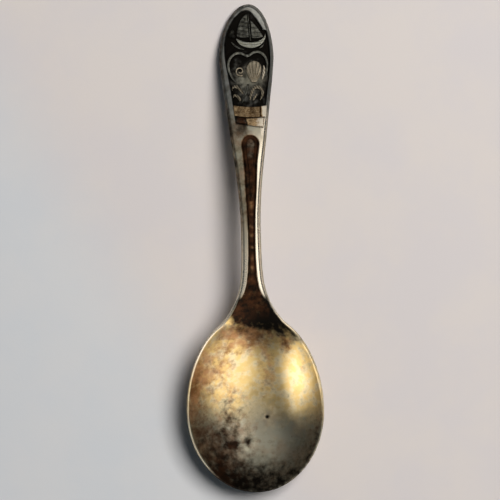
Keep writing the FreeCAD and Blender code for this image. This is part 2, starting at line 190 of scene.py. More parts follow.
def tip_lean(y):
    """How far the handle's end is drawn to the right at y."""
    return TIP_LEAN * (np.maximum(y - END_Y, 0.0) / END_REACH) ** 2


def edge_distance(x, y):
    """How far x, y lies inside the spoon's outline, near the outline."""
    x = x - tip_lean(y)
    toe = inside_oval(x, y - BOWL_Y, BOWL_HALF_WIDTH, BOWL_TOE_REACH)
    heel = inside_oval(x, y - BOWL_Y, BOWL_HALF_WIDTH, BOWL_HEEL_REACH)
    end = inside_oval(x, y - END_Y, END_HALF_WIDTH, END_REACH)
    side = (half_width(y) - np.abs(x)) / np.sqrt(1 + slope_of(half_width, y, reach=0.2) ** 2)
    bowl = np.where(y < BOWL_Y, toe, heel)
    return np.where(y < SHOULDER_Y, bowl, np.where(y > END_Y, end, side))


def bowl_outness(x, y, land=0.0):
    """1 where the bowl's hollow starts, a land's width inside the outline, and 0 at the bowl's middle."""
    room = half_width_squared(y) - x * x
    slope = slope_of(half_width_squared, y, reach=0.1)
    return 1 - (room - land * np.sqrt(4 * x * x + slope**2)) / BOWL_HALF_WIDTH**2


def hollow_depth(x, y, land=0.0, softness=0.01):
    """Depth of the bowl under its rim, with an edge as soft as softness."""
    depth = BOWL_DEPTH * (1 - np.maximum(bowl_outness(x, y, land), 0.0) ** (BOWL_FULLNESS / 2))
    return softness * np.logaddexp(0.0, depth / softness)


def rounded_path(points, steps=8):
    """Points along a smooth curve through the points."""
    points = np.array(points)
    ends = np.concatenate([2 * points[:1] - points[1:2], points, 2 * points[-1:] - points[-2:-1]])
    t = np.linspace(0, 1, steps, endpoint=False)[:, None]
    path = []
    for a, b, c, d in zip(ends, ends[1:], ends[2:], ends[3:]):
        path.append(b + 0.5 * t * (c - a + t * (2 * a - 5 * b + 4 * c - d + t * (3 * b - a - 3 * c + d))))
    return np.concatenate(path + [points[-1:]])


PANEL = np.concatenate([rounded_path(PANEL_RIGHT), rounded_path(PANEL_TIP + PANEL_LEFT)])


def panel_distance(x, y):
    """How far x, y lies inside the sunk panel's edge, or outside where it is below 0."""
    x, y = np.broadcast_arrays(x, y)
    nearest = np.full(x.shape, FAR)
    inside = np.zeros(x.shape, bool)
    for (x0, y0), (x1, y1) in zip(PANEL, np.roll(PANEL, -1, axis=0)):
        run_x, run_y = x1 - x0, y1 - y0
        along = np.clip(((x - x0) * run_x + (y - y0) * run_y) / (run_x**2 + run_y**2 + TINY**2), 0, 1)
        nearest = np.minimum(nearest, np.hypot(x - x0 - along * run_x, y - y0 - along * run_y))
        spans = (y0 > y) != (y1 > y)
        crossing = x0 + (y - y0) * run_x / (run_y if run_y else TINY)
        inside ^= spans & (x < crossing)
    return np.where(inside, nearest, -nearest)


def groove_middle(y):
    """The groove leans to the right as it goes up the shank."""
    return GROOVE_LEAN * (y - JOINT_Y) / (GROOVE_TOP_Y + GROOVE_HEAD - JOINT_Y)


def groove_distance(x, y):
    """How far x, y lies inside the groove's edge."""
    head = np.maximum(y - GROOVE_TOP_Y, 0.0) / GROOVE_HEAD
    half = smooth_through(GROOVE, y)
    return half - np.sqrt((x - groove_middle(y)) ** 2 + (head * half) ** 2)


def bead_share(x, y):
    """1 at the middle of each small bead along the groove's floor below the long drop."""
    along = 0.5 + 0.5 * waves(y + BEAD_STRAY * np.sin(BEAD_STRAY_RATE * y), BEAD_PITCH)
    across = np.clip(1 - ((x - groove_middle(y)) / BEAD_HALF_WIDTH) ** 2, 0, 1)
    return along * across * step(*BEADS_COME_IN, y) * step(*BEADS_GO_OUT, y)


def bump_at(x, y, middle_x, middle_y, reach_x, reach_y):
    """1 at a place on the spoon, falling to 0 at its reach."""
    away = np.sqrt(((x - middle_x) / reach_x) ** 2 + ((y - middle_y) / reach_y) ** 2)
    return 1 - step(0.0, 1.0, away)


def pit_share(x, y):
    """1 in the small pit right of the bowl's middle."""
    return bump_at(x, y, PIT_X, PIT_Y, PIT_REACH, PIT_REACH)


def ripple(x, y, length, seed):
    """Gentle unevenness from about -1 to 1, with hollows about that long."""
    count, shortest, longest, peak = 9, 0.6, 1.8, 1.6
    rng = np.random.default_rng(seed)
    angles = rng.uniform(0, 2 * math.pi, count)
    phases = rng.uniform(0, 2 * math.pi, count)
    lengths = length * rng.uniform(shortest, longest, count)
    total = np.zeros(np.broadcast(x, y).shape)
    for angle, phase, wave in zip(angles, phases, lengths):
        total += np.sin(2 * math.pi * (x * math.cos(angle) + y * math.sin(angle)) / wave + phase)
    return total / count**0.5 / peak


def crest(y):
    """Height of the spoon's top line at y."""
    return smooth_through(CREST, y)


def top_height(x, y):
    """Height of the spoon's upper side."""
    edge = edge_distance(x, y)
    panel = panel_distance(x, y)
    in_shank = step(*TOP_TURNS_TO_SHANK, y)

    bowl = hollow_depth(x, y, smooth_through(RIM_LAND, y), RIM_SOFTNESS)
    groove = GROOVE_DEPTH * step(*GROOVE_WALL, groove_distance(x, y))
    sunk = blend(in_shank, bowl, groove) + PANEL_DEPTH * step(*PANEL_WALL, panel)
    sunk = sunk + PIT_DEPTH * pit_share(x, y) - BEAD_HEIGHT * bead_share(x, y)

    drop = BOWL_SHOULDER + SHANK_EXTRA_SHOULDER * step(*SHOULDER_GROWS, y)
    shoulder = drop * np.clip(1 - edge / SHOULDER_WIDTH, 0, 1) ** 2
    crown = CROWN + RIGHT_CROWN * (x > 0) * step(*RIGHT_CROWN_GROWS, y)
    shoulder = shoulder + crown * in_shank * ((x - tip_lean(y)) / half_width(y)) ** 2

    dents = DENT_HEIGHT * ripple(x, y, length=9.0, seed=3) * step(0.3, 2.0, edge)
    dents = dents + SMALL_DENT_HEIGHT * ripple(x, y, length=2.2, seed=5)
    ground = GROUND_HEIGHT * ripple(x, y, length=1.1, seed=8) * step(0.3, 0.6, panel)
    return crest(y) - sunk - shoulder + (dents + ground) * step(0.0, 0.6, edge) - CLEARANCE


def low_height(x, y):
    """Height of the spoon's underside."""
    thickness = smooth_through(THICKNESS, y)
    thickness_starts_y = THICKNESS[0][0]
    out = np.clip(bowl_outness(x - tip_lean(y), y), 0.0, 1.0)
    wall = np.maximum(BOWL_WALL + RIM_THICKENING * out, thickness * (y > thickness_starts_y))
    bowl = crest(y) - hollow_depth(x, y) - wall
    share = np.clip(np.abs(x - tip_lean(y)) / np.maximum(half_width(y), 0.3), 0, 1)
    handle = crest(y) - thickness * (1 - SIDE_THINNING * share**3)
    return np.maximum(blend(step(*UNDERSIDE_TURNS_TO_SHANK, y), bowl, handle), 0.0)


# ---- making meshes ----

# Half width, reach and middle of the outline's oval stretches.
OVALS = {
    "toe": (BOWL_HALF_WIDTH, BOWL_TOE_REACH, BOWL_Y),
    "heel": (BOWL_HALF_WIDTH, BOWL_HEEL_REACH, BOWL_Y),
    "end": (END_HALF_WIDTH, END_REACH, END_Y),
}
WELD_DISTANCE = 2e-7  # in metres
RIM_STEPS = 6  # points round each half of the rim's edge
LEAST_RIM = 0.02  # height left between the rim's two rounded edges
UNDERSIDE_RISE_POWER = 8  # the higher, the closer to the rim the underside bends to meet it


def outline(*stretches):
    """The right-hand outline's x and y, and its outward normal's x and y.

    A stretch is its kind, where it starts and stops (the shank's in y, an oval's in degrees), and its points.
    """
    lines = []
    for kind, start, stop, count in stretches:
        if kind == "shank":
            y = np.linspace(start, stop, count)
            x = half_width(y)
            normal_x, normal_y = np.ones(count), -slope_of(half_width, y, reach=0.05)
        else:
            half, reach, middle = OVALS[kind]
            angle = np.radians(np.linspace(start, stop, count))
            x, y = half * np.cos(angle), middle + reach * np.sin(angle)
            normal_x, normal_y = np.cos(angle) / half, np.sin(angle) / reach
        length = np.hypot(normal_x, normal_y)
        line = np.stack([x, y, normal_x / length, normal_y / length])
        lines.append(line[:, 1:] if lines else line)
    return np.concatenate(lines, axis=1)


def grid_faces(rows, columns, first):
    """The quads of a grid of vertices that starts at index first."""
    corner = first + np.arange(rows - 1)[:, None] * columns + np.arange(columns - 1)[None, :]
    quads = np.stack([corner, corner + 1, corner + columns + 1, corner + columns], axis=-1)
    return quads.reshape(-1, 4)


def spread(count):
    """Places across the spoon from -1 to 1, closer together near both edges."""
    even = np.linspace(-1, 1, count)
    return blend(0.38, even, np.sin(even * math.pi / 2))


def skin(name, line, columns, low_columns, top_round, low_round):
    """A closed skin over a stretch of the spoon: top, rounded rim, underside, and a cap where it is cut."""
    x, y, normal_x, normal_y = line
    rows = len(x)
    across, low_across = spread(columns), spread(low_columns)

    top_y = np.repeat((y - top_round * normal_y)[:, None], columns, axis=1)
    top_x = (x - top_round * normal_x)[:, None] * across + tip_lean(top_y)
    low_y = np.repeat((y - low_round * normal_y)[:, None], low_columns, axis=1)
    low_x = (x - low_round * normal_x)[:, None] * low_across + tip_lean(low_y)
    top = np.stack([top_x, top_y, top_height(top_x, top_y)], axis=-1)
    low = np.stack([low_x, low_y, low_height(low_x, low_y)], axis=-1)

    rim_top = top[:, -1, 2]
    rim_low = np.minimum(low[:, -1, 2], rim_top - top_round - low_round - LEAST_RIM)
    low[:, :, 2] += (rim_low - low[:, -1, 2])[:, None] * np.abs(low_across) ** UNDERSIDE_RISE_POWER
    section = []
    for turn in np.radians(np.linspace(0, 90, RIM_STEPS)):
        section.append((-top_round * (1 - math.sin(turn)), rim_top - top_round * (1 - math.cos(turn))))
    for turn in np.radians(np.linspace(0, 90, RIM_STEPS)):
        section.append((-low_round * (1 - math.cos(turn)), rim_low + low_round * (1 - math.sin(turn))))
    rim_lines = [np.stack([x + out * normal_x, y + out * normal_y, z], axis=-1) for out, z in section]
    rim = np.stack(rim_lines, axis=1)
    other_rim = rim * np.array([-1, 1, 1])
    other_rim[:, 0, 2] = top[:, 0, 2]
    for side in (rim, other_rim):
        side[:, :, 0] += tip_lean(side[:, :, 1])

    vertices, faces = [], []
    for block in (top, low, rim, other_rim):
        faces.append(grid_faces(rows, block.shape[1], sum(len(points) for points in vertices)))
        vertices.append(block.reshape(-1, 3))
    mesh = bpy.data.meshes.new(name)
    mesh.from_pydata((np.concatenate(vertices) * MM).tolist(), [], np.concatenate(faces).tolist())
    return welded(name, mesh)


def added(name, data):
    """A new object in the scene."""
    thing = bpy.data.objects.new(name, data)
    bpy.context.scene.collection.objects.link(thing)
    return thing


def welded(name, mesh):
    """An object of the mesh with its doubled vertices merged, its open ends closed and its faces outwards."""
    work = bmesh.new()
    work.from_mesh(mesh)
    bmesh.ops.remove_doubles(work, verts=work.verts, dist=WELD_DISTANCE)
    open_edges = [edge for edge in work.edges if edge.is_boundary]
    if open_edges:
        for edge in open_edges:
            edge.smooth = False
        bmesh.ops.holes_fill(work, edges=open_edges)
    bmesh.ops.recalc_face_normals(work, faces=work.faces)
    for face in work.faces:
        face.smooth = True
    work.to_mesh(mesh)
    work.free()
    return added(name, mesh)


def vectors(items, key):
    """One x, y and z for each of a mesh's items."""
    flat = np.zeros(len(items) * 3)
    items.foreach_get(key, flat)
    return flat.reshape(-1, 3)


def points_of(mesh):
    """A mesh's vertices in millimetres."""
    return vectors(mesh.vertices, "co") / MM


def up_share(mesh):
    """How far each vertex faces up."""
    return vectors(mesh.vertex_normals, "vector")[:, 2]


def set_points(mesh, points):
    """Moves a mesh's vertices to points in millimetres."""
    mesh.vertices.foreach_set("co", (points * MM).ravel())
    mesh.update()


# ---- wear, painted highlights and painted shade ----

# Black and the relief's rub with painted light may pass 1, and are stored divided by this.
STORED_TOP = 2.0

# Where along y each kind of wear, painted highlight and painted shade comes in, from none at the first to all
# at the second.
IN_SHANK, IN_END = (-13.0, -9.0), (25.0, 34.0)
GILT_ABOVE, LOWER_STAIN_BELOW = (-47.0, -34.0), (-36.0, -50.0)
TOE_BLACK_BELOW, UNDER_TOE_BELOW = (-45.0, -54.0), (-40.0, -54.0)
DARKER_UPPER_LEFT = (-2.0, 10.0)
# These ranges along the shank, and the left and right rim's below, bring in painted highlights.
HIGHLIGHT_RIGHT, HIGHLIGHT_LEFT = (29.0, 20.0), (9.0, -6.0)
LEFT_RIM_HIGHLIGHT, RIGHT_RIM_HIGHLIGHT, CLEAN_RIM = (-33.0, -23.0), (-40.0, -32.0), (-54.0, -47.0)
NECK_SIDE, GROOVE_STAINED = (-21.0, -17.0), (-17.0, -11.5)
PANEL_FOOT = (29.8, 28.8)
# The same by how far the surface faces up, along x, and by the distance to an edge.
FACING_UP, FACING_DOWN = (0.25, 0.7), (0.15, -0.25)
ON_LEFT, ON_RIGHT = (0.2, -0.6), (-0.2, 0.6)
BY_EDGE, AT_EDGE, OFF_EDGE = (0.75, 0.3), (0.5, 0.15), (0.0, 0.5)
IN_GROOVE, IN_PANEL = (-0.3, 0.25), (-0.1, 0.2)

# The black band over the neck ends at this y. Right of the middle it reaches lower, and on the left less low.
NECK_EDGE_Y = -17.6
NECK_FADES_BELOW, NECK_FADES_ABOVE = 4.6, 3.2
NECK_RIGHT_X, NECK_RIGHT_WIDTH, NECK_RIGHT_SLOPE = -1.0, 4.5, 0.35
NECK_LEFT_X, NECK_LEFT_SLOPE = -3.2, 1.1

# Patches in the bowl, as the middle's x and y and the reach in x and y.
GILT_PATCHES = [(-6.0, -25.0, 18.0, 26.0), (10.5, -29.0, 12.0, 22.0)]

# What each patch adds, as middle, reach, and (stain, black, russet).
BOWL_PATCHES = {
    "left_edge": ((-15.2, -32.0), (6.5, 15.0), (1.0, 0.34, 1.0)),
    "mottled_left": ((-9.5, -27.0), (8.0, 11.0), (0.72, 0.0, 1.0)),
    "low_left": ((-11.5, -46.5), (15.0, 14.0), (0.7, 0.66, 0.7)),
    "middle_left": ((-5.2, -36.5), (6.5, 8.5), (0.35, 0.32, 0.0)),
    "below_neck": ((-0.8, -20.0), (9.0, 6.5), (1.1, 0.0, 0.0)),
    "left_below_neck": ((-6.5, -19.0), (4.5, 4.0), (0.4, 0.0, 0.0)),
    # The next two patches paint a dark reflection down the bowl's middle, in stain and black.
    "painted_dark_reflection_top": ((7.2, -22.0), (3.2, 3.6), (0.93, 0.3, 0.0)),
    "painted_dark_reflection": ((2.9, -29.0), (3.4, 8.0), (0.682, 0.22, 0.0)),
    "low_right": ((15.5, -45.0), (9.5, 15.0), (0.0, 0.8, 0.6)),
    "right_rim": ((13.5, -24.0), (5.0, 8.0), (0.0, 0.45, 0.0)),
    "right_smudge": ((-1.8, -44.3), (1.5, 2.2), (0.0, 0.5, 0.0)),
    "left_smudge": ((-5.8, -44.7), (2.8, 1.7), (0.0, 0.5, 0.0)),
    "round_smudges": ((-6.0, -42.5), (9.0, 8.0), (0.0, 0.24, 0.0)),
    "neck": ((-3.4, -13.0), (5.5, 9.0), (0.0, 0.0, 1.0)),
}
NECK_BLACK, TOE_BLACK, PIT_BLACK, LEAST_BLACK = 1.35, 0.95, 1.5, 0.05
LOWER_STAIN, LEAST_GILT = 0.25, 0.1

# The underside: the share of each mark that it loses, and what it has all over.
GILT_LOST_UNDER, STAIN_LOST_UNDER, BLACK_LOST_UNDER = 0.4, 0.75, 0.9
STAIN_UNDER, BLACK_UNDER, BLACK_UNDER_TOE = 0.25, 0.12, 0.3

# Patches on the handle, like the gilt ones. The first is a painted shadow under the ribbon.
RIBBON_SHADOW_PATCH = (-2.0, 27.0, 4.5, 3.2)
SHELL_GROUND = (0.9, 38.6, 7.2, 6.2)
LEAF_GROUND = (0.8, 33.0, 6.0, 4.5)

# The painted highlight beside the ribbon's fold: where it comes in along x, and along y from above and from
# below.
FOLD_SIDE_X, FOLD_SIDE_TOP, FOLD_SIDE_FOOT = (2.5, 3.1), (31.5, 29.5), (24.0, 26.0)

# The left and neck-side highlight strengths below are for painted highlights.
SHANK_GILT, LEFT_HIGHLIGHT = 0.22, 0.9
NECK_SIDE_CLEAN, NECK_SIDE_HIGHLIGHT = 0.9, 0.5
GROOVE_GILT, GROOVE_STAIN, GROOVE_BLACK, BEADS_PALER = 0.5, 1.3, 1.25, 0.45
PANEL_BLACK, SHELL_GROUND_PALER, LEAF_GROUND_PALER, FOOT_PALER = 1.4, 0.92, 0.45, 0.4
DROP_BLACK, DROP_RIDGE_PALER = 1.28, 0.3
DROP_RIDGE_UP, DROP_RIDGE_Y = (0.9, 1.0), (18.0, 23.0)


def bowl_wear_and_painted_reflection(x, y):
    """Where the bowl's gilt is left, where it is stained, where it is black, and where black is reddish. The
    stained and black parts include a painted reflection of a dark shape down the middle.
    """
    gilt = sum(bump_at(x, y, *patch) for patch in GILT_PATCHES)
    gilt = gilt * step(*GILT_ABOVE, y) + LEAST_GILT

    lower = NECK_RIGHT_SLOPE * np.clip(x - NECK_RIGHT_X, 0.0, NECK_RIGHT_WIDTH)
    higher = NECK_LEFT_SLOPE * np.maximum(NECK_LEFT_X - x, 0.0)
    neck_edge = NECK_EDGE_Y - lower + higher
    neck = step(neck_edge - NECK_FADES_BELOW, neck_edge + NECK_FADES_ABOVE, y)
    stain_and_painted_shade = LOWER_STAIN * step(*LOWER_STAIN_BELOW, y)
    black = NECK_BLACK * neck + TOE_BLACK * step(*TOE_BLACK_BELOW, y) + LEAST_BLACK
    russet = np.zeros(len(x))
    for middle, reach, (more_stain_and_painted_reflection, more_black, more_russet) in BOWL_PATCHES.values():
        share = bump_at(x, y, *middle, *reach)
        stain_and_painted_shade = stain_and_painted_shade + more_stain_and_painted_reflection * share
        black = black + more_black * share
        russet = russet + more_russet * share
    return gilt, stain_and_painted_shade, np.maximum(black, PIT_BLACK * pit_share(x, y)), russet


def wear_and_painted_light(points, up):
    """Wear, painted highlights and painted shade at each point of the bowl and handle, given how far its
    surface faces up.
    """
    x, y = points[:, 0], points[:, 1]
    edge = edge_distance(x, y)
    on_top, below = step(*FACING_UP, up), step(*FACING_DOWN, up)
    left, right = step(*ON_LEFT, x), step(*ON_RIGHT, x)
    in_shank, in_end = step(*IN_SHANK, y), step(*IN_END, y)
    by_edge = step(*BY_EDGE, edge)

    # The underside is less worn and less stained.
    gilt, stain_and_painted_shade, black, russet = bowl_wear_and_painted_reflection(x, y)
    under_toe = step(*UNDER_TOE_BELOW, y)
    gilt = gilt * (1 - GILT_LOST_UNDER * below)
    stain_and_painted_shade = stain_and_painted_shade * (1 - STAIN_LOST_UNDER * below) + STAIN_UNDER * below
    black = black * (1 - BLACK_LOST_UNDER * below) + (BLACK_UNDER + BLACK_UNDER_TOE * under_toe) * below

    # The shank is darker at its upper left. Painted shade darkens its left flank, the side away from the
    # light, and a painted shadow lies under the ribbon; painted highlights brighten its right side and its
    # lower left.
    painted_left_flank_shade = by_edge * left
    upper_left = left * step(*DARKER_UPPER_LEFT, y)
    painted_ribbon_shadow = bump_at(x, y, *RIBBON_SHADOW_PATCH)
    shank_stain_and_painted_shade = 0.1 + 0.3 * painted_left_flank_shade + 0.3 * upper_left * (1 - in_end) + 0.5 * painted_ribbon_shadow
    shank_black_and_painted_shade = 0.02 + 0.3 * painted_left_flank_shade + 0.36 * upper_left + 0.35 * painted_ribbon_shadow
    gilt = blend(in_shank, gilt, SHANK_GILT * (1 - in_end))
    stain_and_painted_shade = blend(in_shank, stain_and_painted_shade, shank_stain_and_painted_shade)
    black = blend(in_shank, black, shank_black_and_painted_shade)
    fold_side_highlight = step(*FOLD_SIDE_X, x) * step(*FOLD_SIDE_TOP, y) * step(*FOLD_SIDE_FOOT, y)
    painted_highlight = right * np.maximum(step(*HIGHLIGHT_RIGHT, y), fold_side_highlight) + LEFT_HIGHLIGHT * left * step(*HIGHLIGHT_LEFT, y)
    painted_highlight = painted_highlight * in_shank * step(*OFF_EDGE, edge)

    # The bowl's rim gets a painted highlight, most on the left and none at the toe, and is rubbed cleaner of
    # black and stain, most on the left and least at the toe.
    rim = by_edge * (1 - in_shank) * on_top
    painted_highlight = painted_highlight + rim * (left * step(*LEFT_RIM_HIGHLIGHT, y) + 0.25 * right * step(*RIGHT_RIM_HIGHLIGHT, y))
    black = black * (1 - rim * (0.9 * left + 0.3 * right) * step(*CLEAN_RIM, y))
    stain_and_painted_shade = stain_and_painted_shade * (1 - rim * (left + 0.2 * right))

    # The black band stops short of the neck's sides, which get a painted highlight.
    neck_side = step(*AT_EDGE, edge) * step(*NECK_SIDE, y) * (1 - in_shank)
    black = black * (1 - NECK_SIDE_CLEAN * neck_side)
    painted_highlight = painted_highlight + NECK_SIDE_HIGHLIGHT * neck_side

    # The groove is brown and black, and paler on its beads.
    groove = step(*IN_GROOVE, groove_distance(x, y)) * step(*GROOVE_STAINED, y) * on_top
    groove_black = GROOVE_BLACK - BEADS_PALER * bead_share(x, y)
    gilt = gilt + GROOVE_GILT * groove
    stain_and_painted_shade = blend(groove, stain_and_painted_shade, GROOVE_STAIN)
    painted_highlight = painted_highlight * (1 - groove)

    # The panel's ground is black, greyer round the shell and the leaves, and reddish at its foot.
    panel = step(*IN_PANEL, panel_distance(x, y)) * on_top
    haze = panel * bump_at(x, y, *SHELL_GROUND)
    foot = panel * step(*PANEL_FOOT, y)
    panel_black = PANEL_BLACK - SHELL_GROUND_PALER * haze - FOOT_PALER * foot
    panel_black = panel_black - LEAF_GROUND_PALER * bump_at(x, y, *LEAF_GROUND)
    black = black * (1 - np.maximum(groove, panel)) + groove_black * groove + panel_black * panel
    black = black * (1 - 0.9 * fold_side_highlight)
    russet = np.maximum(np.maximum(groove, foot), russet * (1 - in_shank))
    oxide = in_end * in_shank * (1 - haze)
    black = black / STORED_TOP
    return {"gilt": gilt, "stain_and_painted_shade": stain_and_painted_shade, "black": black, "russet": russet, "oxide": oxide, "painted_highlight": painted_highlight}


def drop_wear(points, up):
    """The drop in the groove is stained, and rubbed along its ridge."""
    full, none = np.ones(len(points)), np.zeros(len(points))
    ridge = step(*DROP_RIDGE_UP, up) * step(*DROP_RIDGE_Y, points[:, 1])
    black = (DROP_BLACK - DROP_RIDGE_PALER * ridge) / STORED_TOP
    return {"gilt": none, "stain_and_painted_shade": full, "black": black, "russet": full, "oxide": none, "painted_highlight": none}


# ---- materials ----


class Nodes:
    """Short names for building one material's nodes."""

    def __init__(self, name):
        self.material = bpy.data.materials.new(name)
        self.material.use_nodes = True
        self.tree = self.material.node_tree
        self.shader = self.tree.nodes["Principled BSDF"]

    def add(self, kind, **settings):
        node = self.tree.nodes.new(kind)
        for key, value in settings.items():
            setattr(node, key, value)
        return node

    def link(self, source, target):
        """Links a socket to the target, or sets the target to a number or colour."""
        if isinstance(source, (int, float)):
            target.default_value = source
        elif isinstance(source, tuple):
            target.default_value = (*source, 1.0)
        else:
            self.tree.links.new(source, target)

    def math(self, operation, a, b=0.0, c=0.0):
        node = self.add("ShaderNodeMath", operation=operation)
        for socket, value in zip(node.inputs, (a, b, c)):
            self.link(value, socket)
        return node.outputs[0]

    def total(self, start, *terms):
        """The start plus each term's value times its weight."""
        for value, weight in terms:
            start = self.math("MULTIPLY_ADD", value, weight, start)
        return start

    def uneven(self, value, noise, contrast):
        """The value, raised and lowered by noise round 0.5."""
        return self.math("MULTIPLY_ADD", self.math("SUBTRACT", noise, 0.5), contrast, value)

    def mix(self, share, a, b):
        node = self.add("ShaderNodeMix", data_type="RGBA")
        self.link(share, node.inputs[0])
        self.link(a, node.inputs[6])
        self.link(b, node.inputs[7])
        return node.outputs[2]

    def stored(self, name):
        return self.add("ShaderNodeAttribute", attribute_name=name).outputs["Fac"]

    def place(self, stretch=(1, 1, 1), shift=(0, 0, 0)):
        """Object coordinates in millimetres."""
        mapping = self.add("ShaderNodeMapping")
        mapping.inputs["Scale"].default_value = [share / MM for share in stretch]
        mapping.inputs["Location"].default_value = shift
        self.link(self.add("ShaderNodeTexCoord").outputs["Object"], mapping.inputs["Vector"])
        return mapping.outputs[0]

    def noise(self, size, detail=3.0, roughness=0.55, stretch=(1, 1, 1), shift=(0, 0, 0)):
        """Noise from 0 to 1 whose blotches are about that size in millimetres."""
        node = self.add("ShaderNodeTexNoise")
        node.inputs["Scale"].default_value = 1.0 / size
        node.inputs["Detail"].default_value = detail
        node.inputs["Roughness"].default_value = roughness
        self.link(self.place(stretch, shift), node.inputs["Vector"])
        return node.outputs["Fac"]

    def ramp(self, value, low, high):
        """Rises from 0 at low to 1 at high."""
        node = self.add("ShaderNodeMapRange", interpolation_type="SMOOTHSTEP")
        self.link(value, node.inputs["Value"])
        self.link(low, node.inputs["From Min"])
        self.link(high, node.inputs["From Max"])
        return node.outputs[0]

    def bump(self, height, distance, strength):
        """Bumps that high in millimetres where height is 1."""
        node = self.add("ShaderNodeBump")
        node.inputs["Distance"].default_value = distance * MM
        node.inputs["Strength"].default_value = strength
        self.link(height, node.inputs["Height"])
        self.link(node.outputs[0], self.shader.inputs["Normal"])


GILT, PALE_GILT = (0.88, 0.62, 0.25), (0.92, 0.74, 0.44)
NICKEL, WARM_NICKEL = (0.47, 0.435, 0.325), (0.47, 0.39, 0.275)
# The colour of painted highlights.
PAINTED_HIGHLIGHT_PLATE = (0.99, 0.86, 0.68)
OXIDE, PALE_OXIDE = (0.26, 0.26, 0.24), (0.36, 0.35, 0.31)
STAIN, COPPER = (0.26, 0.10, 0.035), (0.60, 0.30, 0.14)
DULL_STAIN, DULL_COPPER = (0.19, 0.115, 0.065), (0.36, 0.25, 0.165)
BLACK, DEEP_BROWN = (0.012, 0.010, 0.008), (0.105, 0.042, 0.019)
PEWTER, WARM_PEWTER, DARK_PEWTER = (0.56, 0.55, 0.48), (0.42, 0.39, 0.27), (0.014, 0.013, 0.011)
TAN, WARM_TAN = (0.66, 0.56, 0.40), (0.52, 0.40, 0.26)
BRASS, WARM_BRASS, DARK_BRASS = (0.62, 0.44, 0.24), (0.30, 0.17, 0.08), (0.04, 0.018, 0.007)
WARM_PAPER, WARM_MOTTLE = (0.70, 0.662, 0.645), (0.67, 0.642, 0.65)
COOL_PAPER, COOL_MOTTLE = (0.655, 0.675, 0.70), (0.625, 0.66, 0.70)

GILT_CONTRAST, STAIN_CONTRAST, SPOT_CONTRAST = 0.9, 2.4, 2.1
STAIN_COVER = 0.88  # the share of the plate's colour that full stain hides
HIGHLIGHT_CLEARS = 0.35  # how far the painted highlight pushes back the black spots
SCRATCH_STRETCH = (1.0, 0.06, 1.0)  # the scratches run along the spoon
COOL_SLANT, COOL_TO_WARM = 0.6, (-50.0, -18.0)  # along x plus that share of y, in millimetres


def spoon_metal():
    """Worn gilt over nickel, stained brown and spotted black, darkest in the sunk ground, with the stored
    painted highlights and painted shade.
    """
    n = Nodes("worn_gilt_metal")
    gilt, stain_and_painted_shade, black = (n.stored(name) for name in ("gilt", "stain_and_painted_shade", "black"))
    russet, oxide, painted_highlight = (n.stored(name) for name in ("russet", "oxide", "painted_highlight"))
    clouds = n.noise(5.0, detail=4.0)
    blotch = n.noise(1.8, detail=3.0, roughness=0.5)
    other_blotch = n.noise(1.7, detail=4.0, roughness=0.62, shift=(7.0, 3.0, 0.0))
    speck = n.noise(0.7, detail=3.0, roughness=0.55)
    fine = n.noise(0.2, detail=3.0, roughness=0.6)
    scratches = n.noise(0.12, detail=2.0, roughness=0.6, stretch=SCRATCH_STRETCH)

    nickel = n.mix(n.ramp(clouds, 0.42, 0.62), NICKEL, WARM_NICKEL)
    golden = n.mix(n.ramp(blotch, 0.4, 0.65), GILT, PALE_GILT)
    plate = n.mix(n.ramp(n.uneven(gilt, blotch, GILT_CONTRAST), 0.1, 0.8), nickel, golden)
    plate = n.mix(oxide, plate, n.mix(n.ramp(speck, 0.35, 0.65), OXIDE, PALE_OXIDE))

    brownness = n.ramp(n.uneven(stain_and_painted_shade, other_blotch, STAIN_CONTRAST), 0.1, 1.1)
    reddened = n.mix(n.ramp(clouds, 0.4, 0.6), STAIN, COPPER)
    dulled = n.mix(n.ramp(clouds, 0.4, 0.6), DULL_STAIN, DULL_COPPER)
    brown = n.mix(n.ramp(gilt, 0.1, 0.6), dulled, reddened)
    stained = n.mix(n.math("MULTIPLY", brownness, STAIN_COVER), plate, brown)
    # Painted highlight: where it is stored, the plate turns to the pale highlight colour.
    highlighted = n.mix(painted_highlight, stained, PAINTED_HIGHLIGHT_PLATE)

    grain = n.total(0.0, (speck, 0.3), (blotch, 0.7))
    spotted = n.uneven(n.math("MULTIPLY", black, STORED_TOP), grain, SPOT_CONTRAST)
    spots = n.ramp(n.total(spotted, (painted_highlight, -HIGHLIGHT_CLEARS)), 0.08, 1.2)
    dark = n.mix(russet, BLACK, n.mix(n.ramp(other_blotch, 0.3, 0.7), BLACK, DEEP_BROWN))
    n.link(n.mix(spots, highlighted, dark), n.shader.inputs["Base Color"])

    n.shader.inputs["Metallic"].default_value = 1.0
    dullness = n.total(0.26, (fine, 0.12), (spots, 0.22), (brownness, 0.08), (painted_highlight, -0.05))
    n.link(dullness, n.shader.inputs["Roughness"])
    relief = n.total(0.0, (scratches, 0.35), (spots, -0.5), (fine, 0.5))
    n.bump(relief, distance=0.02, strength=0.7)
    return n.material


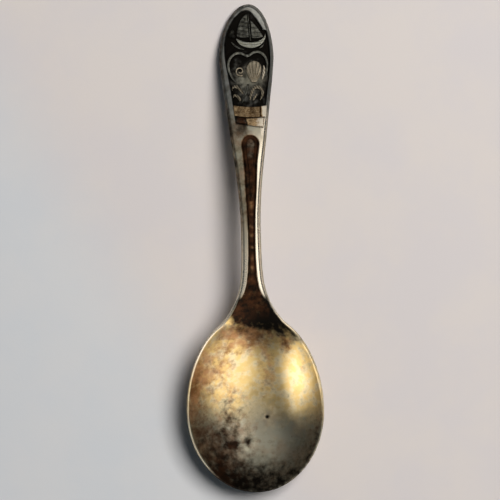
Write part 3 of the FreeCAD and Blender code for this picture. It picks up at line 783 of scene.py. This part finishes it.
def picture_metal(name, high, warm, low, mottling=0.8):
    """Plate on a raised form: pale on top, from rubbing and painted highlight, warmer in specks, and dark in
    its hollows and on its sides, from oxide and painted shade.
    """
    n = Nodes(name)
    rub_and_painted_light = n.math("MULTIPLY", n.stored("rub_and_painted_light"), STORED_TOP)
    blotch = n.noise(0.9, detail=5.0, roughness=0.62)
    speck = n.noise(0.3, detail=5.0, roughness=0.7)
    worn = n.uneven(rub_and_painted_light, blotch, mottling)
    plate = n.mix(n.ramp(speck, 0.4, 0.65), high, warm)
    colour = n.mix(n.ramp(worn, 0.1, 1.0), low, plate)
    # Past 1.1 the plate turns to the painted highlight colour.
    n.link(n.mix(n.ramp(worn, 1.1, 1.7), colour, PAINTED_HIGHLIGHT_PLATE), n.shader.inputs["Base Color"])
    n.shader.inputs["Metallic"].default_value = 1.0
    n.link(n.total(0.28, (speck, 0.25)), n.shader.inputs["Roughness"])
    n.bump(n.math("ADD", speck, blotch), distance=0.02, strength=0.6)
    return n.material


def paper():
    """Pale, faintly mottled paper for the floor, cooler left of the bowl."""
    n = Nodes("pale_paper")
    mottle = n.ramp(n.noise(28.0, detail=4.0, roughness=0.6), 0.35, 0.65)
    axes = n.add("ShaderNodeSeparateXYZ")
    n.link(n.place(), axes.inputs[0])
    slant = n.total(axes.outputs["X"], (axes.outputs["Y"], COOL_SLANT))
    cool, warm = n.mix(mottle, COOL_PAPER, COOL_MOTTLE), n.mix(mottle, WARM_PAPER, WARM_MOTTLE)
    n.link(n.mix(n.ramp(slant, *COOL_TO_WARM), cool, warm), n.shader.inputs["Base Color"])
    n.shader.inputs["Roughness"].default_value = 0.9
    n.shader.inputs["Specular IOR Level"].default_value = 0.1
    n.bump(n.noise(0.5), distance=0.03, strength=0.4)
    return n.material


metal = spoon_metal()


def stand_in(piece, node, material, marks):
    """Stands the piece in for its node, with its material and the numbers per vertex that it reads."""
    for name, numbers in marks.items():
        layer = piece.data.attributes.new(name, "FLOAT", "POINT")
        layer.data.foreach_set("value", np.clip(numbers, 0, 1).astype(np.float32))
    piece.data.materials.append(material)
    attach(piece, "root")
    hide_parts(node)


def finish_metal(piece, node, wear_at):
    """A piece of the spoon's own metal."""
    marks = wear_at(points_of(piece.data), up_share(piece.data))
    stand_in(piece, node, metal, marks)


# ---- the bowl and the handle ----

SHOULDER_DEG = math.degrees(math.asin(SHOULDER_SINE))
FINER_Y = 20.0  # the handle's rows are closer together above this
bowl_line = outline(("toe", -90, 0, 150), ("heel", 0, SHOULDER_DEG, 90), ("shank", SHOULDER_Y, JOINT_Y, 50))
handle_line = outline(("shank", JOINT_Y, FINER_Y, 120), ("shank", FINER_Y, END_Y, 190), ("end", 0, 90, 110))
bowl_shell = skin("bowl_shell", bowl_line, columns=161, low_columns=81, top_round=0.22, low_round=0.45)
finish_metal(bowl_shell, "bowl", wear_and_painted_light)
shank_and_end = skin("shank_and_end", handle_line, columns=121, low_columns=61, top_round=0.22, low_round=0.6)
finish_metal(shank_and_end, "handle", wear_and_painted_light)


# ---- the picture and the ribbon ----

# Pitches and shifts in millimetres. A cut is the narrower the higher its threshold is.
PLANK_PITCH, PLANK_CURVE, PLANK_THRESHOLD, HULL_MIDDLE_X = 0.55, 0.055, 0.3, 1.2
SEAM_PITCH, SEAM_SLANT, SEAM_THRESHOLD, SEAM_DEPTH = 0.95, 0.15, 0.55, 1.5
SHELL_HINGE_X, SHELL_HINGE_Y, FLUTE_PITCH_DEG = 1.65, 36.6, 9.5
VEIN_PITCH, VEIN_SLANT = 0.62, 0.6
FOLD_PITCH, FOLD_SHIFT, FOLD_DEPTH = 3.1, 0.3, 0.5
PLAIN_LENGTH, PLAIN_DEPTH = 0.9, 0.6
FOLD_X, FOLD_LINE_X, FOLD_LINE_WIDTH = 3.0, 2.9, 0.3  # the ribbon is folded back here, with a painted crease shade along the fold
TAIL_WIDER, TAIL_LONGER = 0.32, 0.35  # so that the ribbon's tail meets its pocket's wall
RAISED = (0.12, 0.4)  # a form's top is this high over the panel's floor
FORM_FACING_UP = (0.0, 0.8)
ENGRAVED = 0.25  # the share of a form's brightness that its engraving changes
PAINTED_SHADE_LIFTS = {"name_ribbon": 0.35, "ribbon_tail": 0.7}  # how far the painted shade on their sides and hollows is lifted
FOOT = 0.15  # how far the foot of a form goes into the floor it stands on
MERGE_DISTANCE = 1e-4


def softened(node, name, voxel, smoothing):
    """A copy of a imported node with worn, rounded edges."""
    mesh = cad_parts[node].data.copy()
    mesh.transform(Matrix.Scale(1 / MM, 4))
    work = bmesh.new()
    work.from_mesh(mesh)
    bmesh.ops.remove_doubles(work, verts=work.verts, dist=MERGE_DISTANCE)
    work.to_mesh(mesh)
    work.free()
    rough = added(name + "_rough", mesh)
    remesh = rough.modifiers.new("remesh", "REMESH")
    remesh.mode = "VOXEL"
    remesh.voxel_size = voxel
    smooth = rough.modifiers.new("smooth", "SMOOTH")
    smooth.factor = 0.5
    smooth.iterations = smoothing
    fine = bpy.data.meshes.new_from_object(rough.evaluated_get(bpy.context.evaluated_depsgraph_get()))
    bpy.data.objects.remove(rough)
    bpy.data.meshes.remove(mesh)
    fine.name = name
    fine.materials.clear()
    fine.transform(Matrix.Scale(MM, 4))
    fine.shade_smooth()
    return added(name, fine)


def above_floor(points):
    """How high each point stands over the sunk panel's floor."""
    return points[:, 2] - crest(points[:, 1]) + PANEL_DEPTH


def planks(x, y):
    """Cuts that bow like the hull."""
    bowed = y - PLANK_CURVE * (x - HULL_MIDDLE_X) ** 2
    return -np.clip(waves(bowed, PLANK_PITCH) - PLANK_THRESHOLD, 0, 1)


def cloth_seams(x, y):
    """Slightly slanted cuts across a sail."""
    return -SEAM_DEPTH * np.clip(waves(y + SEAM_SLANT * x, SEAM_PITCH) - SEAM_THRESHOLD, 0, 1)


def shell_flutes(x, y):
    """Ridges that fan out from the shell's hinge."""
    return waves(np.degrees(np.arctan2(x - SHELL_HINGE_X, y - SHELL_HINGE_Y)), FLUTE_PITCH_DEG)


def veins(x, y):
    """Slanted ridges on the leaves."""
    return waves(x + VEIN_SLANT * y, VEIN_PITCH)


def folds(x, _y):
    """Long waves along the ribbon."""
    return FOLD_DEPTH * waves(x + FOLD_SHIFT, FOLD_PITCH)


def plain(x, y):
    """Slight unevenness."""
    return PLAIN_DEPTH * ripple(x, y, PLAIN_LENGTH, seed=11)


def painted_fold_light(node, x):
    """The ribbon's painted light past its even rub: a painted highlight right of the fold, with painted crease
    shade along it, and a painted highlight on the tail's right.
    """
    if node == "name_ribbon":
        fold_line = 1 - step(0.0, FOLD_LINE_WIDTH, np.abs(x - FOLD_LINE_X))
        return 1.2 * step(FOLD_X, FOLD_X + 0.5, x) - 0.9 * fold_line
    if node == "ribbon_tail":
        return 0.9 * step(0.5, FOLD_X, x)
    return 0.0


def widen_tail(points):
    """Widens the ribbon's tail by the fold and at its lower edge."""
    points[:, 0] += TAIL_WIDER * step(2.2, 3.0, points[:, 0])
    points[:, 1] -= TAIL_LONGER * step(28.4, 27.9, points[:, 1])


def make_picture_piece(node, name, material, slot, engraving, depth, brightness):
    """A raised form of the picture or ribbon, engraved that deep, with that much rub and painted highlight,
    and painted shade on its sides and foot.
    """
    piece = softened(node, name, voxel=0.07, smoothing=8)
    points = points_of(piece.data)
    high = step(*RAISED, above_floor(points))
    cut = engraving(points[:, 0], points[:, 1])
    points[:, 2] += depth * cut * high
    points[:, 2] -= FOOT * (1 - high) * step(FOOT, 0.0, above_floor(points))
    if node == "ribbon_tail":
        widen_tail(points)
    set_points(piece.data, points)
    rub_and_painted_light = brightness * (1 - ENGRAVED + ENGRAVED * cut) + painted_fold_light(node, points[:, 0])
    # Painted shade: sides facing away from up and feet near the floor are kept dark, partly standing for oxide
    # in the hollows.
    rub_over_painted_shade = high * step(*FORM_FACING_UP, up_share(piece.data))
    rub_over_painted_shade = blend(PAINTED_SHADE_LIFTS.get(node, 0.0), rub_over_painted_shade, 1.0)
    stand_in(piece, node, material, {"rub_and_painted_light": rub_and_painted_light / STORED_TOP * rub_over_painted_shade})


pewter_plate = picture_metal("oxidised_plate", PEWTER, WARM_PEWTER, DARK_PEWTER)
tan_plate = picture_metal("rubbed_plate", TAN, WARM_TAN, DARK_PEWTER)
worn_brass = picture_metal("worn_brass", BRASS, WARM_BRASS, DARK_BRASS, mottling=1.8)

# node, piece name, material, slot, engraving, engraving depth, how pale it is from rubbing and painted
# highlight
PICTURE = [
    ("mast", "boat_mast", pewter_plate, "relief_metal", plain, 0.02, 0.45),
    ("sail_fore", "boat_fore_sail", pewter_plate, "relief_metal", cloth_seams, 0.06, 0.42),
    ("sail_main", "boat_main_sail", pewter_plate, "relief_metal", cloth_seams, 0.06, 0.6),
    ("hull", "boat_hull", pewter_plate, "relief_metal", planks, 0.07, 1.2),
    ("waves", "wave_crests", pewter_plate, "relief_metal", plain, 0.03, 0.5),
    ("cloud", "low_cloud", pewter_plate, "relief_metal", plain, 0.03, 0.25),
    ("scroll_frame", "scroll_frame_band", pewter_plate, "relief_metal", plain, 0.03, 0.65),
    ("scallop_shell", "scallop", tan_plate, "relief_metal", shell_flutes, 0.07, 1.25),
    ("volute", "coiled_scroll", tan_plate, "relief_metal", plain, 0.02, 1.2),
    # The upright leaf is paler than the other forms by a painted highlight.
    ("plume", "upright_leaf", tan_plate, "relief_metal", veins, 0.04, 1.95),
    ("leaf_stem", "leaf_stalk", pewter_plate, "relief_metal", plain, 0.02, 0.5),
    ("leaf_left", "curling_leaves_left", tan_plate, "relief_metal", veins, 0.05, 0.7),
    ("leaf_right", "curling_leaves_right", tan_plate, "relief_metal", veins, 0.05, 0.85),
    ("name_ribbon", "blank_ribbon", worn_brass, "ribbon_metal", folds, 0.05, 0.75),
    ("ribbon_tail", "ribbon_fold", worn_brass, "ribbon_metal", folds, 0.05, 0.9),
]
for row in PICTURE:
    make_picture_piece(*row)

# ---- the two drops ----

long_drop = softened("groove_drop", "long_drop", voxel=0.08, smoothing=6)
finish_metal(long_drop, "groove_drop", drop_wear)
heel_tongue = softened("heel_drop", "heel_tongue", voxel=0.16, smoothing=8)
finish_metal(heel_tongue, "heel_drop", wear_and_painted_light)

# ---- floor, light and camera ----

FLOOR_SIZE = 3.0
LENS, SENSOR = 200.0, 36.0
CLIP_NEAR, CLIP_FAR = 0.01, 10.0
CAMERA_AT = (-0.00030, -0.00058, 0.6354)
LEAN_DEG = 1.48
KEY_COLOUR, PANEL_COLOUR = (1.0, 0.95, 0.90), (1.0, 0.98, 0.95)
ROOM_COLOUR, ROOM_STRENGTH = (0.60, 0.82, 1.0), 0.055

# name, compass and tilt off straight up in degrees, distance, (width, length), radiance
KEY = ("key", 34, 28, 0.9, (0.46, 0.46), 13.2)
PANELS = [
    ("front_right_panel", -50, 52, 1.0, (1.05, 1.0), 1.35),
    ("right_panel", 20, 27, 1.0, (0.72, 0.66), 1.25),
    ("back_panel", 98, 34, 1.0, (0.9, 0.6), 0.34),
    ("left_back_panel", 150, 40, 1.0, (0.6, 0.6), 0.2),
    ("front_panel", -112, 42, 1.0, (0.34, 0.36), 0.6),
    ("low_left_panel", 212, 70, 1.0, (0.42, 0.5), 2.5),
    ("ceiling", 190, 9, 0.9, (0.6, 0.6), 0.38),
]


def make_floor():
    mesh = bpy.data.meshes.new("floor")
    half = FLOOR_SIZE / 2
    corners = [(-half, -half, 0), (half, -half, 0), (half, half, 0), (-half, half, 0)]
    mesh.from_pydata(corners, [], [(0, 1, 2, 3)])
    floor = added("floor", mesh)
    mesh.materials.append(paper())


def make_softbox(name, compass_deg, off_top_deg, distance, size, radiance, colour, lights):
    """A soft light facing the spoon, for "diffuse" or "glossy" surfaces. Compass 0 is +X and 90 is +Y."""
    data = bpy.data.lights.new(name, "AREA")
    data.shape = "RECTANGLE"
    data.size, data.size_y = size
    data.energy = radiance * math.pi * size[0] * size[1]
    data.color = colour
    light = added(name, data)
    compass, off_top = math.radians(compass_deg), math.radians(off_top_deg)
    flat = math.sin(off_top)
    towards = Vector((flat * math.cos(compass), flat * math.sin(compass), math.cos(off_top)))
    light.location = towards * distance
    light.rotation_mode = "QUATERNION"
    light.rotation_quaternion = towards.to_track_quat("Z", "Y")
    light.visible_diffuse = lights == "diffuse"
    light.visible_glossy = lights == "glossy"


def make_lights():
    """The key light makes the paper's light and shadow, and the panels are what the metal reflects."""
    make_softbox(*KEY, KEY_COLOUR, lights="diffuse")
    for panel in PANELS:
        make_softbox(*panel, PANEL_COLOUR, lights="glossy")
    world = bpy.data.worlds.new("room")
    world.use_nodes = True
    background = world.node_tree.nodes["Background"]
    background.inputs["Color"].default_value = (*ROOM_COLOUR, 1.0)
    background.inputs["Strength"].default_value = ROOM_STRENGTH
    bpy.context.scene.world = world
    bpy.context.scene.view_settings.view_transform = "Standard"


def make_camera():
    data = bpy.data.cameras.new("camera")
    data.lens = LENS
    data.sensor_width = SENSOR
    data.clip_start, data.clip_end = CLIP_NEAR, CLIP_FAR
    camera = added("camera", data)
    camera.location = CAMERA_AT
    camera.rotation_euler = (0, 0, -math.radians(LEAN_DEG))
    bpy.context.scene.camera = camera


make_floor()
make_lights()
make_camera()
